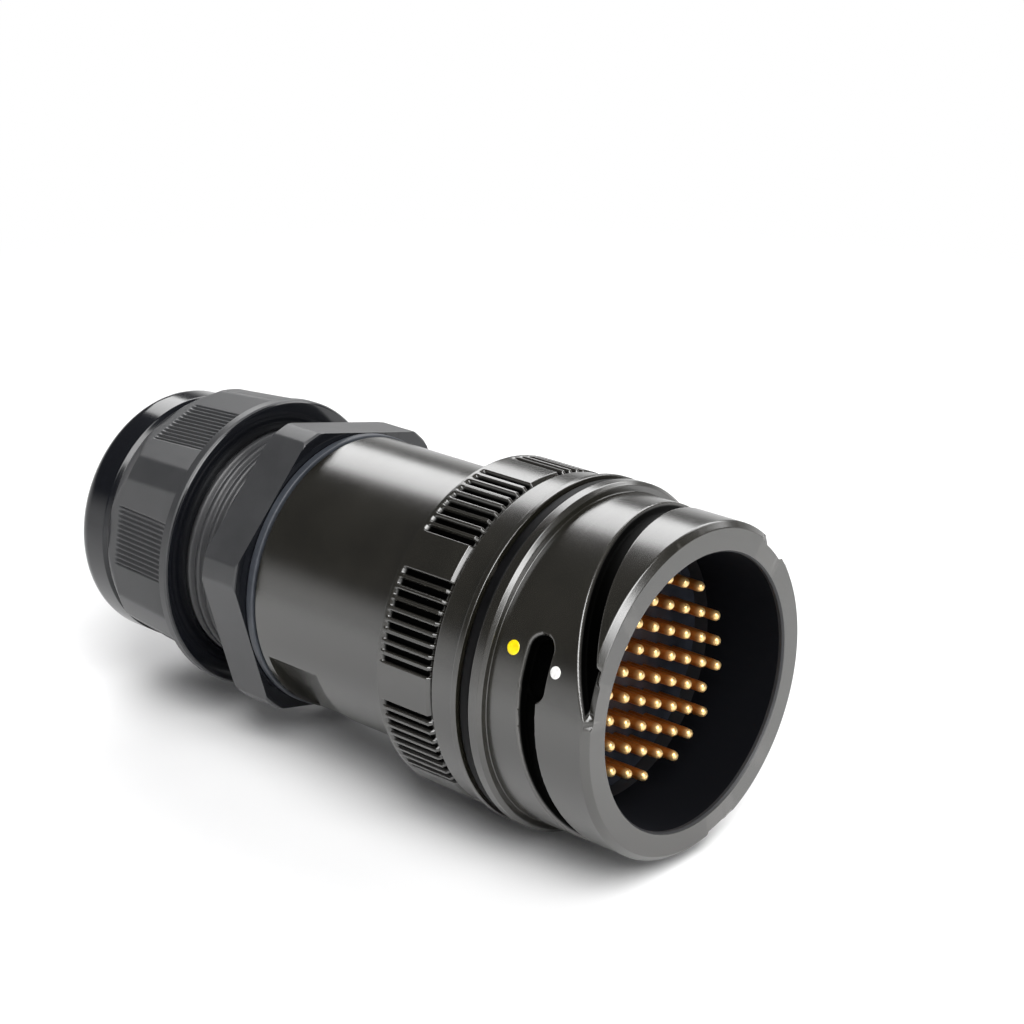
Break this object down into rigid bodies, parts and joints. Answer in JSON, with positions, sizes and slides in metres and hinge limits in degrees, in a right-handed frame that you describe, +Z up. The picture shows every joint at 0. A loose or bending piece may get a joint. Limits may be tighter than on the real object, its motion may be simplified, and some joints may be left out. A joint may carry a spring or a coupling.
{
  "type": "circular cable connector",
  "caption": "In-line circular cable receptacle with a reverse-bayonet barrel, pin contacts, a knurled backshell ring and a cable gland.",
  "frame": {"origin": "centre of the mating barrel at the front face of the flange", "axes": "+X along the connector's axis, out of the open mouth; +Z up, as the part lies in the picture; -Y towards the side that faces the viewer there"},
  "size_m": [0.1134, 0.0538, 0.0538],
  "materials": {
    "shell_plating": "smooth near-black plating, semi-gloss",
    "yellow_paint": "painted dot",
    "white_paint": "painted dot",
    "seal_rubber": "matt black rubber",
    "insert_rubber": "dark moulded insert",
    "contact_gold": "gold plating",
    "washer_fibre": "blue-grey sealing washer",
    "gland_plastic": "dark moulded plastic, semi-matt, glossy at the lip",
    "cage_plastic": "dark moulded plastic"
  },
  "bodies": {
    "receptacle": {"receptacle_shell": "shell_plating", "yellow_dot": "yellow_paint", "white_dot": "white_paint", "flange_seal_ring": "seal_rubber", "contact_insert": "insert_rubber", "insert_retaining_ring": "shell_plating", "contact_row_1": "contact_gold", "contact_row_2": "contact_gold", "contact_row_3": "contact_gold", "contact_row_4": "contact_gold", "contact_row_5": "contact_gold", "contact_row_6": "contact_gold", "contact_row_7": "contact_gold", "contact_row_8": "contact_gold", "contact_row_9": "contact_gold"},
    "backshell": {"backshell": "shell_plating", "backshell_o_ring": "seal_rubber", "gland_washer": "washer_fibre", "gland_body": "gland_plastic"},
    "grip": {"grip_ring": "shell_plating"},
    "clamp": {"clamping_cage": "cage_plastic", "cable_seal": "seal_rubber"},
    "nut": {"dome_nut": "gland_plastic"}
  },
  "joints": [
    {"name": "backshell_slide", "type": "slide", "parent": "receptacle", "child": "backshell", "axis": [-1, 0, 0], "range_m": [0, 0.0045]},
    {"name": "grip_turn", "type": "hinge", "parent": "backshell", "child": "grip", "pos_m": [-0.0155, 0, 0], "axis": [-1, 0, 0], "range_deg": [0, 1080]},
    {"name": "clamp_slide", "type": "slide", "parent": "backshell", "child": "clamp", "axis": [-1, 0, 0], "range_m": [0, 0.006]},
    {"name": "nut_turn", "type": "hinge", "parent": "clamp", "child": "nut", "pos_m": [-0.082, 0, 0], "axis": [-1, 0, 0], "range_deg": [0, 1080]}
  ],
  "couplings": [
    {"joint": "grip_turn", "follows": "backshell_slide", "rad_per_m": 4188.8},
    {"joint": "nut_turn", "follows": "clamp_slide", "rad_per_m": 3141.6}
  ]
}
